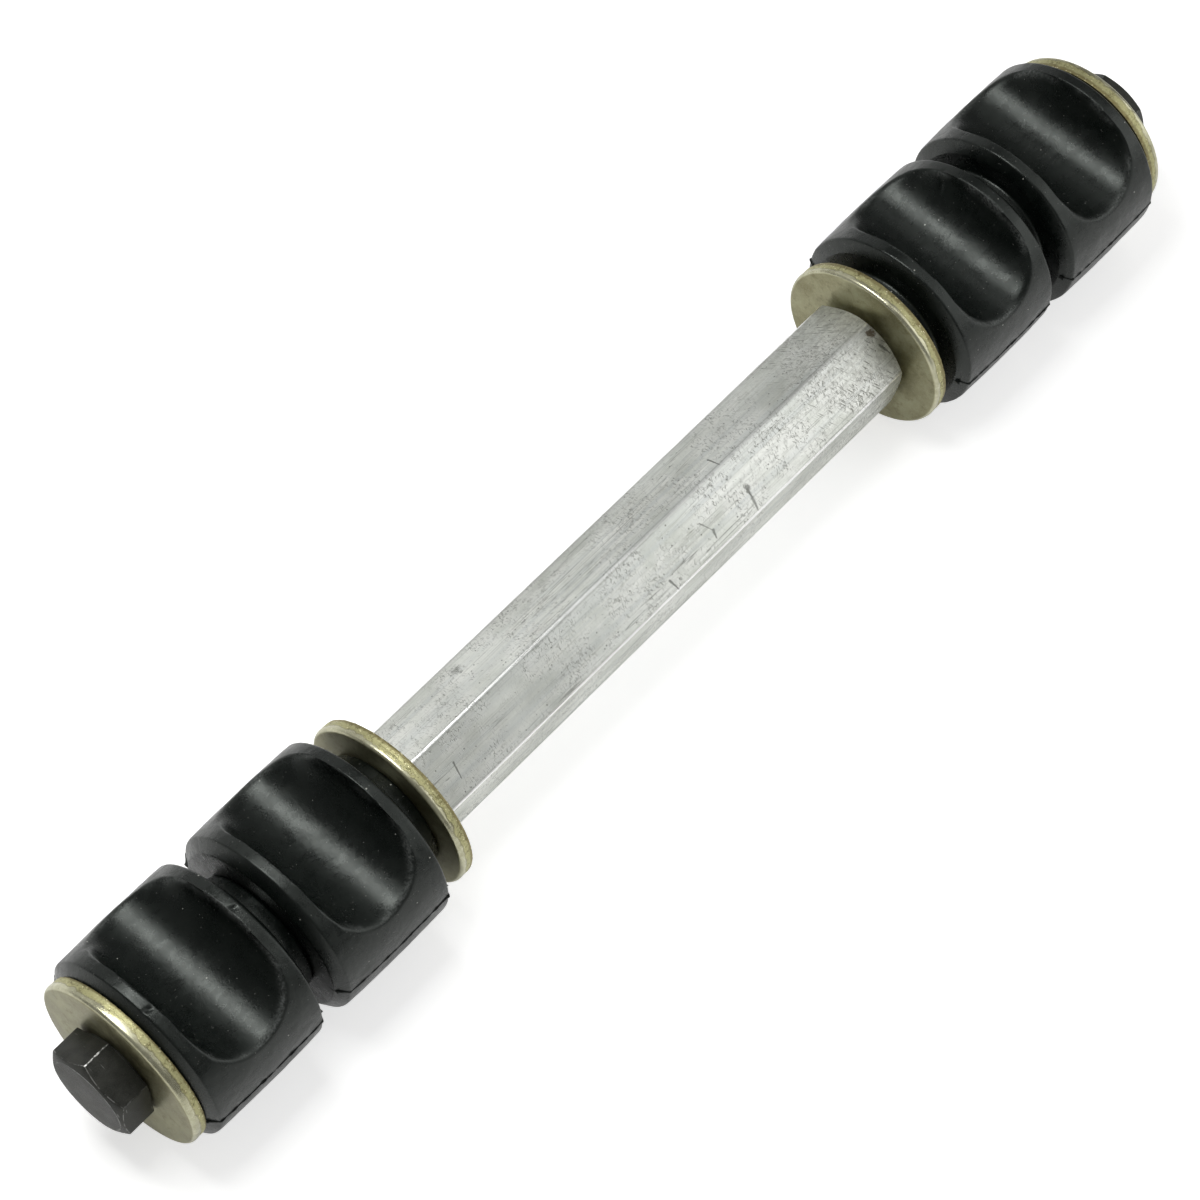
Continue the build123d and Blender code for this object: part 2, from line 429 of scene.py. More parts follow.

# Yellow chromate: its dark and pale patches, stains, painted shade, and the metal of the rim with painted
# glints.
chromate_dark = (0.195, 0.178, 0.085)
chromate_pale = (0.375, 0.362, 0.225)
chromate_blotch = (0.165, 0.148, 0.068)
chromate_bloom = (0.42, 0.415, 0.30)
# Stain with painted contact shade, in a ring where the head or the sleeve meets the face.
seat_stain_and_shade = (0.13, 0.115, 0.050)
rolled_metal = (0.64, 0.63, 0.46)
torn_metal = (0.53, 0.51, 0.265)
# Painted shade in the cracks and pits of the torn band.
crack_shade = (0.14, 0.12, 0.045)
# Darker brown along the rim's back edge, away from the rolled side.
back_edge_brown = (0.17, 0.13, 0.05)
torn_fleck = (0.72, 0.68, 0.40)
# Painted glints: bright specks that stand for light caught by the torn metal.
torn_painted_glint = (0.95, 0.90, 0.62)
seam_shadow = (0.15, 0.13, 0.055)
scuff_grey = (0.27, 0.26, 0.20)

yellow_zinc, tree, shader = new_finish("yellow_zinc")
stamp = node(tree, "Attribute", attribute_name="stamp").outputs["Vector"]
depth = axes(tree, stamp)[0]
radius = from_axis(tree, stamp)
place = millimetres(tree)
smoky = cloud(tree, place, 0.12, 5.0, 0.6)
blotches = cloud(tree, place, 0.7, 5.0, 0.65)
fine = cloud(tree, place, 5.0, 4.0, 0.6)
# A ring round the seat gets stain and painted contact shade.
shade_and_stain_ring = times(tree, ramp(tree, radius, 9.5, 13.0, 1.0, 0.0),
                  ramp(tree, cloud(tree, place, 0.3, 5.0, 0.6), 0.35, 0.65))
rim = ramp(tree, radius, washer_r - 0.28, washer_r - 0.14)
ragged = plus(tree, times(tree, cloud(tree, place, 0.22, 2.0), 1.5), cloud(tree, place, 0.9, 5.0, 0.65))
torn_edge = plus(tree, depth, minus(tree, ragged, 1.25))
torn = times(tree, rim, ramp(tree, torn_edge, 0.85, 1.20))
rolled = times(tree, ramp(tree, radius, washer_r - 0.55, washer_r - 0.25), minus(tree, 1.0, torn))
seam = ramp(tree, sums(tree, "ABSOLUTE", minus(tree, torn_edge, 0.95)), 0.04, 0.14, 1.0, 0.0)
seam = times(tree, seam, rim)
flecks = placed(tree, strokes, Place=place, Length=0.35, Width=0.35, Share=0.4, Seed=1.0)
# Painted glints on the torn band.
painted_glint_specks = placed(tree, strokes, Place=place, Length=0.2, Width=0.2, Share=0.16, Seed=9.0)
scuffs = placed(tree, strokes, Place=place, Length=0.3, Width=2.4, Share=0.08, Seed=5.0)
pits = ramp(tree, cloud(tree, place, 1.6, 5.0, 0.7), 0.53, 0.66, 0.0, 0.75)
cracks = sums(tree, "ABSOLUTE", minus(tree, cloud(tree, place, 0.9, 3.0, 0.6), 0.5))
cracks = times(tree, ramp(tree, cracks, 0.006, 0.03, 1.0, 0.0),
               ramp(tree, cloud(tree, place, 0.4, 2.0), 0.45, 0.6))
# Painted shade in the torn band's cracks and pits.
torn_hollow_shade = times(tree, torn, either(tree, pits, times(tree, cracks, 0.9)))
# The rim's back edge is browned darker.
browned_back_edge = ramp(tree, plus(tree, depth, times(tree, cloud(tree, place, 1.2, 5.0, 0.7), 0.9)), 2.25, 2.6)

colour = blend(tree, ramp(tree, smoky, 0.3, 0.7), chromate_dark, chromate_pale)
colour = coat(tree, colour, chromate_blotch, ramp(tree, blotches, 0.50, 0.70, 0.0, 0.6))
colour = coat(tree, colour, chromate_bloom, ramp(tree, fine, 0.45, 0.75, 0.0, 0.45))
colour = coat(tree, colour, seat_stain_and_shade, shade_and_stain_ring, 0.45)
colour = coat(tree, colour, rolled_metal, times(tree, rolled, ramp(tree, blotches, 0.3, 0.6, 0.85, 0.5)))
colour = coat(tree, colour, torn_metal, times(tree, torn, ramp(tree, fine, 0.3, 0.7, 0.65, 0.95)))
colour = coat(tree, colour, crack_shade, torn_hollow_shade)
colour = coat(tree, colour, back_edge_brown, times(tree, browned_back_edge, torn), 0.65)
colour = coat(tree, colour, torn_fleck, times(tree, torn, flecks), 0.6)
colour = coat(tree, colour, torn_painted_glint, times(tree, torn, painted_glint_specks))
colour = coat(tree, colour, seam_shadow, seam, 0.45)
colour = coat(tree, colour, scuff_grey, scuffs, 0.3)
tree.links.new(colour, shader.inputs["Base Color"])
shader.inputs["Metallic"].default_value = 0.85
rough = minus(tree, ramp(tree, smoky, 0.25, 0.75, 0.34, 0.46), times(tree, rolled, 0.12))
tree.links.new(plus(tree, rough, times(tree, torn, 0.06)), shader.inputs["Roughness"])
relief = plus(tree, times(tree, fine, 0.2), times(tree, torn, plus(tree, flecks, fine)))
emboss(tree, shader, relief, 0.6, 0.0001)


def turn_end_for_end(bm, middle_x):
    """Turns a mesh round so that the side that faced the head faces the nut."""
    bmesh.ops.rotate(bm, cent=(middle_x, 0, 0), matrix=Matrix.Rotation(pi, 3, "Z"), verts=bm.verts)


def flat_washer(cad_node, rolled_side, wider_tear, seed):
    """One washer, its rolled rim turned to rolled_side, with a tear and a turn of its own."""
    bm = bmesh.new()
    chamfer_r = washer_bore_r + washer_bore_chamfer
    rolled_rim = [(washer_roll * (1 - cos(a)), washer_r - washer_roll * (1 - sin(a)))
                  for a in (k * pi / 12 for k in range(7))]
    rough_band = [(washer_roll + 0.15 + k * 0.15, washer_r) for k in range(11)]
    turn(bm, [(washer_bore_chamfer, washer_bore_r), (0, chamfer_r), (0, washer_face_r), *rolled_rim,
              *rough_band, (washer_thickness, washer_r - torn_corner_drop),
              (washer_thickness, washer_face_r), (washer_thickness, chamfer_r),
              (washer_thickness - washer_bore_chamfer, washer_bore_r),
              (washer_bore_chamfer, washer_bore_r)], steps=256)
    for v in bm.verts:
        r = off_axis(v)
        if r > washer_r - 0.1 and v.co.x > washer_roll:
            spot = Vector((v.co.x * 0.9, v.co.y * 0.35, v.co.z * 0.35 + seed * 9))
            start = tear_start - wider_tear + tear_waver * noise.noise(spot * 0.5)
            tear = min(1.0, max(0.0, (v.co.x - start) / tear_run))
            wave = noise.fractal(spot * 1.3, 0.8, 2.2, 4)
            pit = noise.noise(spot * 7.0)
            draw_in(v, 1 - max(0.0, tear * (tear_depth + tear_relief * wave + tear_relief * pit)) / r)
    stamp = bm.verts.layers.float_vector.new("stamp")
    for v in bm.verts:
        v[stamp] = v.co + Vector((wider_tear, 0, 0))
    if rolled_side > 0:
        turn_end_for_end(bm, washer_thickness / 2)
    roll_over(bm, seed * 1.3)
    bmesh.ops.translate(bm, vec=(span(cad_node)[0], 0, 0), verts=bm.verts)
    finished(bm, "washer_" + cad_node, cad_node, cad_node, yellow_zinc)


for seed, (cad_node, (rolled_side, wider_tear)) in enumerate(washers.items()):
    flat_washer(cad_node, rolled_side, wider_tear, seed)

# Four rubber bushings, moulded black and still a little chalky with mould release. Each has a scoop
# pressed into it above and below, a tapered nipple for the eye, and a thin flash where the mould parted.
bushing_bore_r = 5.08
body_length = 24.7
crest_r = 17.6
belly_r = 17.8
flat_face_r = 15.5
flat_bevel = 1.5
shoulder_face_r = 15.2
shoulder_bevel = 1.0
nipple_length = 3.6
nipple_root_r = 11.7
nipple_tip_r = 11.2
scoop_r = 9.1
scoop_floor = 7.9
scoop_middle_x = (flat_bevel + body_length - shoulder_bevel) / 2
crest_round = 0.5
face_round = 0.6
rim_softness = 0.42
rim_smoothed = 0.6
rim_line = 0.25

# The skin lies a little below the mould's size and waves slowly and quickly. The flash stands up
# a little, waves too, and is highest at the body's two corners.
skin_shrink = 0.085
slow_wave = 0.055
quick_wave = 0.024
flash_thickness = 0.2
flash_height = 0.03
flash_wave = 0.13
flash_corner_height = 0.35
flash_corner_wave = 0.25
flash_corner_length = 1.6

# Which way each nipple points, -1 to the head and 1 to the nut, and the turn about the bolt in degrees.
bushings = {"lower_outer_bushing": (1, 0.0), "lower_inner_bushing": (1, -1.5),
            "upper_inner_bushing": (-1, 3.0), "upper_outer_bushing": (-1, 0.5)}

# Slits left in two of the rims: from the flat end, degrees round from +Y, depth.
nicks = {"lower_outer_bushing": [(2.6, 99.0, 0.45), (22.3, 91.5, 0.4)],
         "upper_inner_bushing": [(4.0, 118.0, 0.3)]}

# Black rubber and what lies on it.
rubber_dark = (0.0020, 0.0032, 0.0026)
rubber_pale = (0.0046, 0.0062, 0.0052)
mould_release = (0.13, 0.138, 0.132)
parting_shadow = (0.0015, 0.0017, 0.0016)
dust_grey = (0.30, 0.30, 0.28)
crumb_grey = (0.55, 0.55, 0.50)

rubber, tree, shader = new_finish("rubber")
mould = axes(tree, node(tree, "Attribute", attribute_name="mould").outputs["Vector"])
rim = node(tree, "Attribute", attribute_name="rim").outputs["Fac"]
place = millimetres(tree)
mottle = cloud(tree, place, 0.28, 6.0, 0.62)
skin = cloud(tree, place, 3.6, 4.0, 0.75)
flow = cloud(tree, millimetres(tree, (0.35, 1.6, 1.6)), 0.5, 4.0)
pores = placed(tree, strokes, Place=place, Length=0.15, Width=0.15, Share=0.7, Seed=6.0)
dust = placed(tree, strokes, Place=place, Length=0.16, Width=0.16, Share=0.03, Seed=2.0)
crumbs = placed(tree, strokes, Place=place, Length=0.3, Width=0.25, Share=0.004, Seed=8.0)
chalk = times(tree, rim, ramp(tree, cloud(tree, place, 0.12, 2.0), 0.40, 0.60),
              ramp(tree, cloud(tree, place, 2.4, 6.0, 0.75), 0.40, 0.62, 0.1, 1.0))
parting = ramp(tree, sums(tree, "ABSOLUTE", plus(tree, mould[2], 0.1)), 0.16, 0.34, 1.0, 0.0)
parting = times(tree, parting, ramp(tree, cloud(tree, place, 0.7, 5.0, 0.7), 0.38, 0.52),
                ramp(tree, sums(tree, "ABSOLUTE", mould[1]), 14.0, 15.0))

colour = blend(tree, ramp(tree, mottle, 0.3, 0.7), rubber_dark, rubber_pale)
colour = coat(tree, colour, mould_release, chalk, 0.85)
colour = coat(tree, colour, parting_shadow, parting)
colour = coat(tree, colour, dust_grey, dust, 0.5)
colour = coat(tree, colour, crumb_grey, crumbs, 0.8)
tree.links.new(colour, shader.inputs["Base Color"])
rough = ramp(tree, plus(tree, mottle, times(tree, flow, 0.6)), 0.5, 1.1, 0.20, 0.37)
rough = plus(tree, rough, times(tree, either(tree, chalk, parting), 0.3))
tree.links.new(rough, shader.inputs["Roughness"])
relief = minus(tree, plus(tree, skin, mottle), times(tree, pores, 0.15))
emboss(tree, shader, relief, 0.5, 0.00006)
shader.inputs["Specular IOR Level"].default_value = 0.42
shader.inputs["Specular Tint"].default_value = (0.93, 1.0, 0.94, 1)


def body_radius(x):
    """The body's outline before its corners are rounded."""
    if x < flat_bevel:
        return flat_face_r + (crest_r - flat_face_r) * x / flat_bevel
    if x > body_length - shoulder_bevel:
        return shoulder_face_r + (crest_r - shoulder_face_r) * (body_length - x) / shoulder_bevel
    half = (body_length - flat_bevel - shoulder_bevel) / 2
    return crest_r + (belly_r - crest_r) * (1 - ((x - scoop_middle_x) / half) ** 2)


def rounded(before, corner, after, rounding, steps=5):
    """Points of the arc that rounds off a corner between two of its neighbours."""
    corner = Vector(corner)
    back = (Vector(before) - corner).normalized()
    on = (Vector(after) - corner).normalized()
    half = back.angle(on) / 2
    centre = corner + (back + on).normalized() * rounding / sin(half)
    first = corner + back * rounding / tan(half) - centre
    last = corner + on * rounding / tan(half) - centre
    return [tuple(centre + first.lerp(last, k / steps).normalized() * rounding) for k in range(steps + 1)]


def bushing_profile():
    """Half section from the flat end's bore to the nipple's bore, fine where the scoops cut it."""
    flat_rim, flat_crest = (0.0, flat_face_r), (flat_bevel, crest_r)
    crest, face_rim = (body_length - shoulder_bevel, crest_r), (body_length, shoulder_face_r)
    root, tip = (body_length, nipple_root_r), (body_length + nipple_length, nipple_tip_r)
    tip_bore = (body_length + nipple_length, bushing_bore_r)
    barrel = []
    x = flat_bevel + crest_round
    while x < body_length - shoulder_bevel - crest_round:
        barrel.append((x, body_radius(x)))
        near_wall = abs(abs(x - scoop_middle_x) - scoop_r + 0.2) < 0.7
        x += 0.1 if near_wall else 0.32
    wall = [(body_length + x, nipple_root_r - (nipple_root_r - nipple_tip_r) * x / nipple_length)
            for x in (0.8, 1.2, 1.6, 2.0, 2.4, 2.8)]
    return [(0.0, bushing_bore_r), (0.0, 8.0), (0.0, 12.0), (0.0, 14.4),
            *rounded((0.0, 0.0), flat_rim, flat_crest, face_round),
            *rounded(flat_rim, flat_crest, (body_length, crest_r), crest_round),
            *barrel,
            *rounded((0.0, crest_r), crest, face_rim, crest_round),
            *rounded(crest, face_rim, (body_length, 0.0), face_round),
            (body_length, 14.0), (body_length, 13.0),
            *rounded((body_length, crest_r), root, tip, face_round),
            *wall,
            *rounded(root, tip, tip_bore, face_round),
            (body_length + nipple_length, 8.0), tip_bore, (0.0, bushing_bore_r)]


def mould_flash(bm, side, seed):
    """The thin ragged fin left on one side where the mould's halves met."""
    made = bmesh.ops.create_grid(bm, x_segments=120, y_segments=1, size=0.5)
    for v in made["verts"]:
        at_crest = v.co.y > 0
        x = 0.04 + (body_length + 0.1) * (v.co.x + 0.5)
        ragged = noise.fractal(Vector((x * 0.8, side * 7.0, seed * 13.0)), 0.9, 2.1, 4)
        body = body_radius(min(max(x, 0.3), body_length - 0.3))
        at_corner = max(0.0, 1 - min(x, body_length - x) / flash_corner_length)
        corner = at_corner * (flash_corner_height + flash_corner_wave * ragged)
        fin = max(-0.3, flash_height + flash_wave * ragged + corner)
        reach = min(body + fin, belly_r + 0.13) if at_crest else body - 0.5
        v.co = (x, side * reach, -flash_thickness / 2)
    sheet = list({f for v in made["verts"] for f in v.link_faces})
    pushed = bmesh.ops.extrude_face_region(bm, geom=sheet)
    moved = [v for v in pushed["geom"] if isinstance(v, bmesh.types.BMVert)]
    bmesh.ops.translate(bm, vec=(0, 0, flash_thickness), verts=moved)


def nick_depth(cad_node, x, y, z):
    """How deep a bushing's slits are at a place on its rim."""
    depth = 0.0
    for nick_x, angle, deepest in nicks.get(cad_node, ()):
        up, out = sin(radians(angle)), cos(radians(angle))
        along = x - nick_x
        across = y * up - z * out + 0.3 * along
        if z * up + y * out > 0:
            depth += deepest * exp(-(along / 0.8) ** 2 - (across / 0.35) ** 2)
    return depth


def bushing(cad_node, nipple_side, turned_deg, seed):
    """One moulded bushing and its parting flash."""
    bm = bmesh.new()
    turn(bm, bushing_profile(), steps=400)
    rim = bm.verts.layers.float.new("rim")
    near_rim = []
    for v in bm.verts:
        x, y, z = v.co
        r = off_axis(v)
        across = abs(x - scoop_middle_x)
        pressed = r
        if across < scoop_r and abs(z) > 0.5:
            drop = sqrt(scoop_r ** 2 - across ** 2)
            groove = r * (scoop_floor + scoop_r - drop) / abs(z)
            climb = sqrt(1 + (r * across / (abs(z) * max(drop, 0.3))) ** 2 + (y / z) ** 2)
            softness = rim_softness * min(climb, 2.5)
            share = min(1.0, max(0.0, 0.5 + 0.5 * (groove - r) / softness))
            pressed = groove + (r - groove) * share - softness * share * (1 - share)
            away = (groove - r) / climb
        else:
            away = across - scoop_r if abs(z) > scoop_floor + scoop_r else 9.0
        if abs(away) < rim_smoothed:
            near_rim.append(v)
        v[rim] = exp(-(away / rim_line) ** 2)
        if r > 10:
            spot = Vector((x, y, z + 60 * seed))
            wave = slow_wave * noise.noise(spot * 0.25) + quick_wave * noise.noise(spot * 0.9)
            pressed -= skin_shrink + wave
            pressed -= nick_depth(cad_node, x, y, z)
        draw_in(v, pressed / r)
    for _ in range(3):
        bmesh.ops.smooth_vert(bm, verts=near_rim, factor=0.5, use_axis_x=True, use_axis_y=True,
                              use_axis_z=True)
    for side in (1, -1):
        mould_flash(bm, side, seed)
    mould = bm.verts.layers.float_vector.new("mould")
    for v in bm.verts:
        v[mould] = v.co
    if nipple_side < 0:
        turn_end_for_end(bm, (body_length + nipple_length) / 2)
    roll_over(bm, radians(turned_deg))
    bmesh.ops.translate(bm, vec=(span(cad_node)[0], 0, 0), verts=bm.verts)
    finished(bm, "rubber_" + cad_node, cad_node, cad_node, rubber, smooth_deg=60)


for seed, (cad_node, (nipple_side, turned_deg)) in enumerate(bushings.items()):
    bushing(cad_node, nipple_side, turned_deg, seed)

# The spacer sleeve: hexagon bar of drawn aluminium, bored through, its ends turned like a nut's.
# It keeps its draw lines, and the saw, the vice and handling have left chatter marks and scratches.
sleeve_across_flats = 18.0
sleeve_face_d = 15.0
sleeve_bore_r = 5.4
sleeve_bore_chamfer = 0.2
sleeve_corner_round = 0.35
sleeve_edge_round = 0.06
sleeve_roll = 5.7

# Drawn aluminium: its patches, the lines of the die, its marks and dirt, and painted glints and shade.
aluminium_dull = (0.59, 0.61, 0.555)
aluminium_pale = (0.84, 0.86, 0.81)
aluminium_clean = (0.93, 0.93, 0.90)
wide_line = (0.50, 0.54, 0.54)
dark_line = (0.42, 0.435, 0.40)
pale_line = (0.90, 0.915, 0.87)
die_scratch = (0.18, 0.185, 0.165)
# Painted glints on the chatter ticks.
tick_painted_glint = (0.86, 0.87, 0.85)
tick_dark = (0.15, 0.155, 0.13)
hair_scratch = (0.22, 0.22, 0.20)
pit_dark = (0.10, 0.10, 0.085)
# A darker line beside the long corners.
corner_dark_line = (0.20, 0.20, 0.17)
corner_metal = (0.98, 0.98, 0.97)
# Painted shade that darkens the far end in patches.
sleeve_end_shade = (0.30, 0.30, 0.265)
handling_dark = (0.13, 0.135, 0.12)
rust_brown = (0.115, 0.075, 0.035)

# Dark scratches where the sleeve was gripped and dropped: start, end, half width, darkness.
handling_marks = [((109.9, -5.9, 6.9), (109.5, -6.3, 6.6), 0.60, 0.70),
                  ((109.7, -6.0, 6.8), (109.6, -7.3, 5.9), 0.34, 0.80),
                  ((109.6, -7.3, 5.9), (109.1, -9.1, 4.5), 0.32, 0.65),
                  ((99.0, -4.8, 7.6), (100.3, -6.8, 6.2), 0.12, 0.60),
                  ((100.3, -6.8, 6.2), (100.0, -7.9, 5.4), 0.30, 0.70),
                  ((88.7, -7.7, 5.6), (89.1, -9.3, 4.4), 0.24, 0.75),
                  ((40.1, -4.9, 7.6), (39.6, -7.1, 6.0), 0.20, 0.75),
                  ((145.6, -4.5, 7.9), (146.3, -6.3, 6.6), 0.28, 0.70),
                  ((108.3, 1.4, 9.2), (108.4, -0.9, 10.3), 0.18, 0.80)]

# The middle of a grey smudge and of a small rust spot.
smudge_place = (52.7, 5.9, 7.2)
rust_place = (145.4, -2.3, 9.4)

# One scratch between two places: near its line, thinner towards its end and a little ragged.
scratch, given, mask = effect("scratch", {"Place": None, "Start": None, "Finish": None, "Width": 0.2})
reach = node(scratch, "VectorMath", {0: given["Place"], 1: given["Start"]}, operation="SUBTRACT").outputs[0]
whole = node(scratch, "VectorMath", {0: given["Finish"], 1: given["Start"]}, operation="SUBTRACT").outputs[0]
along = node(scratch, "VectorMath", {0: reach, 1: whole}, operation="DOT_PRODUCT").outputs["Value"]
square = node(scratch, "VectorMath", {0: whole, 1: whole}, operation="DOT_PRODUCT").outputs["Value"]
share = sums(scratch, "DIVIDE", along, square, clamp=True)
foot = node(scratch, "VectorMath", {0: whole, "Scale": share}, operation="SCALE").outputs[0]
away = node(scratch, "VectorMath", {0: reach, 1: foot}, operation="DISTANCE").outputs["Value"]
wobble = times(scratch, minus(scratch, cloud(scratch, given["Place"], 3.0, 5.0, 0.65), 0.5), 2.2)
taper = times(scratch, given["Width"], ramp(scratch, share, 0.0, 1.0, 1.15, 0.55))
away = plus(scratch, sums(scratch, "DIVIDE", away, taper), wobble)
scratch.links.new(ramp(scratch, away, 0.5, 1.1, 1.0, 0.0), mask)

drawn_aluminium, tree, shader = new_finish("drawn_aluminium")
place = millimetres(tree)
along = axes(tree, place)
oblique = node(tree, "Mapping", {"Vector": place, "Rotation": (0.0, 0.0, radians(28))}).outputs[0]
counter = node(tree, "Mapping", {"Vector": place, "Rotation": (0.0, 0.0, radians(-33))}).outputs[0]
blotch = cloud(tree, millimetres(tree, (0.5, 1, 1)), 0.12, 6.0, 0.6)
patches = ramp(tree, cloud(tree, place, 0.10, 5.0, 0.65), 0.40, 0.56)
drawn = cloud(tree, millimetres(tree, (0.015, 1, 1)), 3.2, 4.0, 0.6)
drawn_wide = cloud(tree, millimetres(tree, (0.02, 1, 1)), 0.55, 3.0, 0.5)
die_line = cloud(tree, millimetres(tree, (0.03, 1, 1), (3, 1, 2)), 0.9, 2.0)
die_line = sums(tree, "ABSOLUTE", minus(tree, die_line, 0.5))
draw_lines = times(tree, ramp(tree, die_line, 0.003, 0.013, 1.0, 0.0),
                   ramp(tree, cloud(tree, millimetres(tree, (0.3, 1, 1)), 0.16, 4.0), 0.45, 0.6))

# Chatter ticks lean three ways, lie in patches and clumps, and crowd together at the far end.
upright = placed(tree, strokes, Place=place, Length=0.10, Width=0.7, Share=0.7, Seed=4.0)
slanted = placed(tree, strokes, Place=oblique, Length=0.10, Width=0.8, Share=0.6, Seed=11.0)
crossed = placed(tree, strokes, Place=counter, Length=0.10, Width=0.6, Share=0.5, Seed=21.0)
grime = ramp(tree, cloud(tree, millimetres(tree, (0.7, 1, 1)), 1.7, 6.0, 0.75), 0.52, 0.64)
clumps = ramp(tree, cloud(tree, place, 0.32, 3.0), 0.38, 0.58, 0.3, 1.0)
far_clumps = ramp(tree, along[0], 118.0, 136.0)
gouges = placed(tree, strokes, Place=counter, Length=0.16, Width=1.5, Share=0.85, Seed=31.0)
gouges = times(tree, gouges, far_clumps, ramp(tree, clumps, 0.3, 1.0, 0.35, 1.0))
ticks = either(tree, upright, slanted, crossed, times(tree, grime, 0.55))
ticks = times(tree, ticks, ramp(tree, patches, 0.0, 1.0, 0.22, 1.0), either(tree, clumps, far_clumps))
ticks = either(tree, ticks, gouges)
# Painted glints on the chatter ticks.
painted_glint_specks = placed(tree, strokes, Place=oblique, Length=0.18, Width=0.5, Share=0.22, Seed=14.0)
hairs = placed(tree, strokes, Place=oblique, Length=3.6, Width=0.12, Share=0.10, Seed=17.0)
pits = placed(tree, strokes, Place=place, Length=0.3, Width=0.3, Share=0.06, Seed=7.0)

# The long corners are rubbed bright, the lower ones most, with a darker line beside them.
edge = placed(tree, corner_wear, Place=place, Corner_radius=10.27, Width=0.06, Broken=0.8)
edge = times(tree, edge, either(tree, ramp(tree, along[2], 6.0, 8.0, 1.0, 0.0),
                                ramp(tree, along[0], 70.0, 105.0, 0.3, 0.2)))
beside = placed(tree, corner_wear, Place=place, Corner_radius=10.19, Width=0.10, Broken=1.6)
beside = times(tree, minus(tree, beside, edge, clamp=True), ramp(tree, drawn_wide, 0.35, 0.6, 0.25, 0.8))
smudge = placed(tree, blot, Place=place, Centre=smudge_place, Radius=1.2, Ragged=2.4)
handled = times(tree, smudge, ramp(tree, drawn, 0.4, 0.6, 0.15, 0.6))
for start, finish, width, depth in handling_marks:
    mark = placed(tree, scratch, Place=place, Start=start, Finish=finish, Width=width)
    handled = either(tree, handled, times(tree, mark, depth))
rust = placed(tree, blot, Place=place, Centre=rust_place, Radius=0.85, Ragged=2.4)
# Painted shade: the far end darkens in patches.
shade_towards_end = times(tree, ramp(tree, along[0], 116.0, 148.0, 0.0, 0.4),
                ramp(tree, cloud(tree, place, 1.0, 6.0, 0.75), 0.42, 0.60))

colour = blend(tree, ramp(tree, blotch, 0.3, 0.7), aluminium_dull, aluminium_pale)
colour = coat(tree, colour, aluminium_clean, patches, 0.35)
colour = coat(tree, colour, wide_line, ramp(tree, drawn_wide, 0.45, 0.70, 0.0, 0.4))
colour = coat(tree, colour, dark_line, ramp(tree, drawn, 0.5, 0.75, 0.0, 0.5))
colour = coat(tree, colour, pale_line, ramp(tree, drawn, 0.28, 0.42, 0.3, 0.0))
colour = coat(tree, colour, die_scratch, draw_lines, 0.55)
colour = coat(tree, colour, tick_painted_glint, painted_glint_specks, 0.35)
colour = coat(tree, colour, tick_dark, ticks, 0.9)
colour = coat(tree, colour, hair_scratch, hairs, 0.5)
colour = coat(tree, colour, pit_dark, pits, 0.75)
colour = coat(tree, colour, corner_dark_line, beside, 0.3)
colour = coat(tree, colour, corner_metal, edge)
colour = coat(tree, colour, sleeve_end_shade, shade_towards_end)
colour = coat(tree, colour, handling_dark, handled)
colour = coat(tree, colour, rust_brown, rust, 0.8)
tree.links.new(colour, shader.inputs["Base Color"])
tree.links.new(ramp(tree, edge, 0.0, 1.0, 0.82, 1.0), shader.inputs["Metallic"])
rough = ramp(tree, plus(tree, blotch, drawn), 0.6, 1.4, 0.38, 0.55)
tree.links.new(minus(tree, rough, times(tree, edge, 0.18)), shader.inputs["Roughness"])
cuts = plus(tree, either(tree, ticks, handled), either(tree, pits, draw_lines))
emboss(tree, shader, minus(tree, times(tree, drawn, 0.8), cuts), 0.35, 0.00007)

sleeve_start, sleeve_end = span("spacer_sleeve")
bm = bmesh.new()
hexagon_bar(bm, sleeve_across_flats, sleeve_start, sleeve_end, sleeve_corner_round)
turn_down(bm, sleeve_start, sleeve_face_d / 2, -1)
turn_down(bm, sleeve_end, sleeve_face_d / 2, 1)
break_edges(bm, sleeve_edge_round)
roll_over(bm, radians(sleeve_roll))


def bore_through(bm, start_x, end_x, bore_r, mouth_r):
    """Opens a bar's two end faces and joins them by a bore with chamfered mouths."""
    loops = []
    for x, inward in ((start_x, 1), (end_x, -1)):
        flat = [f for f in bm.faces if abs(f.normal.x) > 0.99 and abs(f.calc_center_median().x - x) < 0.05]
        end = max(flat, key=lambda f: f.calc_area())
        for r, step in ((mouth_r, 0.0), (bore_r, mouth_r - bore_r)):
            now = sum((v.co - end.calc_center_median()).length for v in end.verts) / len(end.verts)
            bmesh.ops.inset_individual(bm, faces=[end], thickness=now - r, depth=0.0, use_even_offset=True)
            bmesh.ops.translate(bm, vec=(inward * step, 0, 0), verts=end.verts)
        loops += end.edges[:]
        bmesh.ops.delete(bm, geom=[end], context="FACES_ONLY")
    bmesh.ops.bridge_loops(bm, edges=loops)


bm.normal_update()
bore_through(bm, sleeve_start, sleeve_end, sleeve_bore_r, sleeve_bore_r + sleeve_bore_chamfer)
finished(bm, "sleeve", "spacer_sleeve", "sleeve", drawn_aluminium)

# The nut: a plain hexagon nut, blackened like the bolt and chamfered on both faces. Its bore is
# plain, as in the CAD, and clears the bolt's thread.
nut_across_flats = 15.0
nut_crown_d = 14.1
nut_bore_r = 5.10
nut_mouth_r = 5.68
nut_roll = -15.0

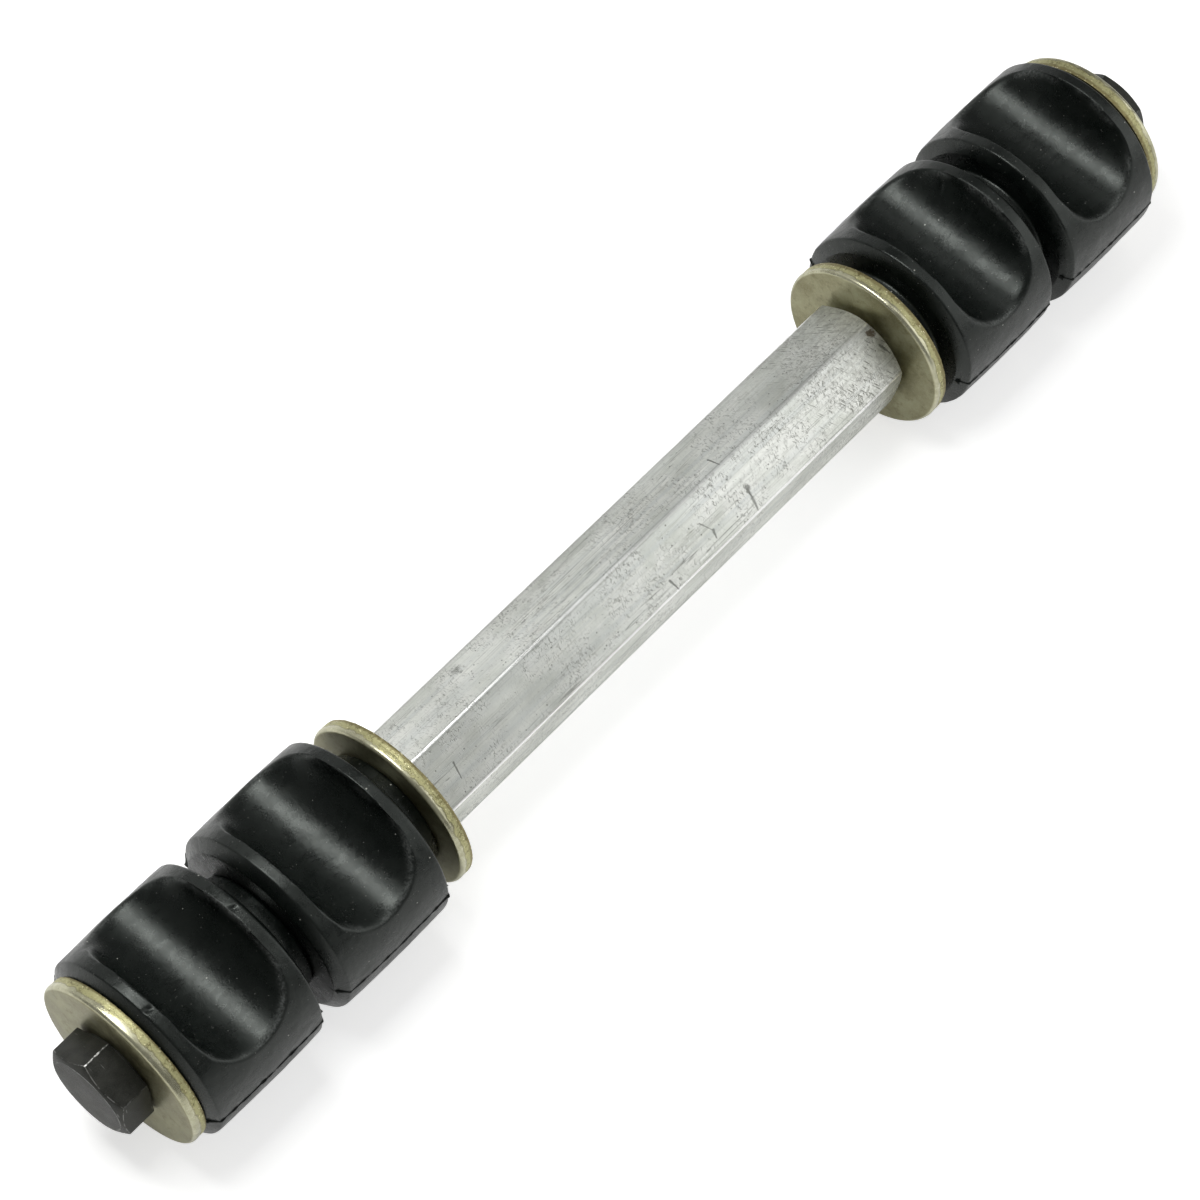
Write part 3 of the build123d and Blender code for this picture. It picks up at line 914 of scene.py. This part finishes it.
nut_start, nut_end = span("hex_nut")
bm = bmesh.new()
hexagon_bar(bm, nut_across_flats, nut_start, nut_end, hex_corner_round)
turn_down(bm, nut_start, nut_crown_d / 2, -1)
turn_down(bm, nut_end, nut_crown_d / 2, 1)
break_edges(bm, hex_edge_round)
bm.normal_update()
bore_through(bm, nut_start, nut_end, nut_bore_r, nut_mouth_r)
roll_over(bm, radians(nut_roll))
finished(bm, "nut", "hex_nut", "nut", black_steel)

# A white table top, on which the link rests by its bushings, and open white surroundings. Four soft
# lamps light it: one near overhead, which draws the streaks in the scoops, and three wide ones.
table_half_width = 6.0
table_white = (0.86, 0.86, 0.85)
table_glow = 0.6
table_in_gloss = 0.5
pure_white = (1.0, 1.0, 1.0)
surroundings_light = 0.14
surroundings_in_gloss = 0.22


def seen(tree, in_gloss):
    """1 for what the camera sees or sees through glass, and less for what gloss mirrors."""
    path = node(tree, "LightPath").outputs
    plainly = either(tree, path["Is Camera Ray"], path["Is Transmission Ray"])
    return either(tree, plainly, times(tree, path["Is Glossy Ray"], in_gloss))


white_table, tree, shader = new_finish("white_table")
shader.inputs["Base Color"].default_value = (*table_white, 1)
shader.inputs["Roughness"].default_value = 0.9
shader.inputs["Emission Color"].default_value = (*pure_white, 1)
tree.links.new(times(tree, seen(tree, table_in_gloss), table_glow), shader.inputs["Emission Strength"])

floor_z = cad_low.z
bm = bmesh.new()
bmesh.ops.create_grid(bm, x_segments=1, y_segments=1, size=table_half_width)
bmesh.ops.translate(bm, vec=(0, 0, floor_z), verts=bm.verts)
mesh = bpy.data.meshes.new("table_top")
bm.to_mesh(mesh)
bm.free()
table_top = bpy.data.objects.new("table_top", mesh)
bpy.context.scene.collection.objects.link(table_top)
mesh.materials.append(white_table)

world = bpy.data.worlds.new("studio")
bpy.context.scene.world = world
world.use_nodes = True
tree = world.node_tree
back = tree.nodes["Background"]
back.inputs["Color"].default_value = (*pure_white, 1)
tree.links.new(either(tree, seen(tree, surroundings_in_gloss), surroundings_light), back.inputs["Strength"])


def softbox(name, centre, aim, width, height, power):
    """A rectangular lamp aimed at a point, metres and watts."""
    lamp = bpy.data.lights.new(name, "AREA")
    lamp.shape = "RECTANGLE"
    lamp.size = width
    lamp.size_y = height
    lamp.energy = power
    made = bpy.data.objects.new(name, lamp)
    made.location = centre
    made.rotation_euler = (Vector(aim) - Vector(centre)).to_track_quat("-Z", "Y").to_euler()
    bpy.context.scene.collection.objects.link(made)


softbox("overhead", (-0.01, 0.16, 0.47), (-0.01, 0, 0), 0.20, 0.30, 1.55)
softbox("top_right", (0.5, -0.1, 1.0), (0.12, 0, 0), 0.8, 0.35, 1.0)
softbox("left_side", (0.45, 1.4, 0.6), (0.09, 0, 0), 1.8, 0.9, 2.3)
softbox("right_side", (0.98, -0.89, 0.68), (0.12, 0, 0), 1.05, 1.25, 5.9)

camera_data = bpy.data.cameras.new("camera")
camera_data.sensor_width = 36.0
camera_data.lens = 116.35
camera_data.clip_start = 0.05
camera = bpy.data.objects.new("camera", camera_data)
camera.location = (-0.16904, -0.18236, 0.54488)
camera.rotation_euler = (radians(29.464), radians(-2.938), radians(-48.686))
bpy.context.scene.collection.objects.link(camera)
bpy.context.scene.camera = camera
bpy.context.scene.view_settings.view_transform = "Standard"
